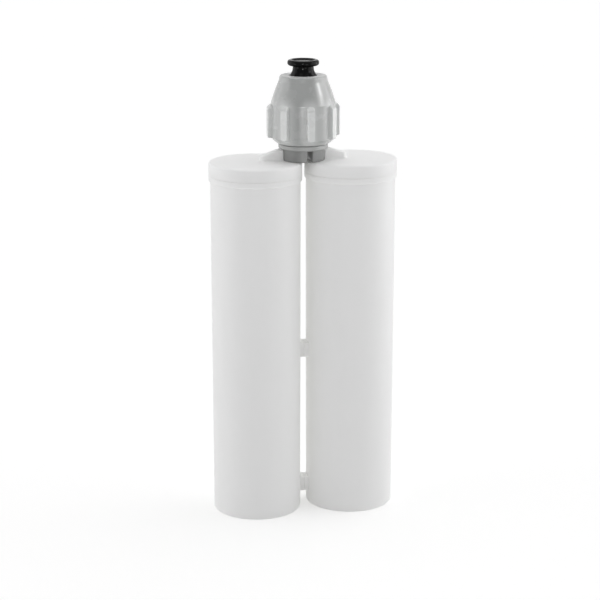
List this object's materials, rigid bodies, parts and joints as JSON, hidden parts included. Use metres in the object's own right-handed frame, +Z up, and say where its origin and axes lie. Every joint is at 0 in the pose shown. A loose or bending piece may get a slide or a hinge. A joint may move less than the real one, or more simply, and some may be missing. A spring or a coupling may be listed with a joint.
{
  "type": "dual cartridge",
  "caption": "Side-by-side twin barrel cartridge with sliding pistons and one outlet neck, closed by a plug that a ribbed screw nut holds down.",
  "frame": {"origin": "on the floor, midway between the two barrels", "axes": "+Z up along the outlet, +X from the left barrel to the right one, the picture's camera is on the -Y side"},
  "size_m": [0.0932, 0.0454, 0.2259],
  "materials": {
    "white_shell": "satin moulded plastic, slightly translucent",
    "neck_grey": "satin moulded plastic",
    "nut_grey": "glossy moulded plastic",
    "plug_black": "glossy moulded plastic",
    "piston_plastic": "satin natural plastic",
    "seal_rubber": "matte rubber"
  },
  "bodies": {
    "cartridge": {"barrel_left": "white_shell", "barrel_right": "white_shell", "head_left": "white_shell", "head_right": "white_shell", "neck": "neck_grey", "port_seal_left": "seal_rubber", "port_seal_right": "seal_rubber"},
    "left_piston": {"piston_left": "piston_plastic", "piston_ring_left": "seal_rubber"},
    "right_piston": {"piston_right": "piston_plastic", "piston_ring_right": "seal_rubber"},
    "left_vent_pin": {"vent_pin_left": "piston_plastic"},
    "right_vent_pin": {"vent_pin_right": "piston_plastic"},
    "closing_plug": {"plug": "plug_black"},
    "nut": {"retaining_nut": "nut_grey"}
  },
  "joints": [
    {"name": "left_piston_travel", "type": "slide", "parent": "cartridge", "child": "left_piston", "axis": [0, 0, 1], "range_m": [0, 0.1545]},
    {"name": "right_piston_travel", "type": "slide", "parent": "cartridge", "child": "right_piston", "axis": [0, 0, 1], "range_m": [0, 0.1545]},
    {"name": "left_vent_press", "type": "slide", "parent": "left_piston", "child": "left_vent_pin", "axis": [0, 0, 1], "range_m": [0, 0.002]},
    {"name": "right_vent_press", "type": "slide", "parent": "right_piston", "child": "right_vent_pin", "axis": [0, 0, 1], "range_m": [0, 0.002]},
    {"name": "plug_lift", "type": "slide", "parent": "cartridge", "child": "closing_plug", "axis": [0, 0, 1], "range_m": [0, 0.0131]},
    {"name": "nut_turn", "type": "hinge", "parent": "closing_plug", "child": "nut", "pos_m": [0, 0, 0.2], "axis": [0, 0, 1], "range_deg": [0, 1170]}
  ],
  "couplings": [
    {"joint": "plug_lift", "follows": "nut_turn", "m_per_rad": 0.00063662}
  ]
}
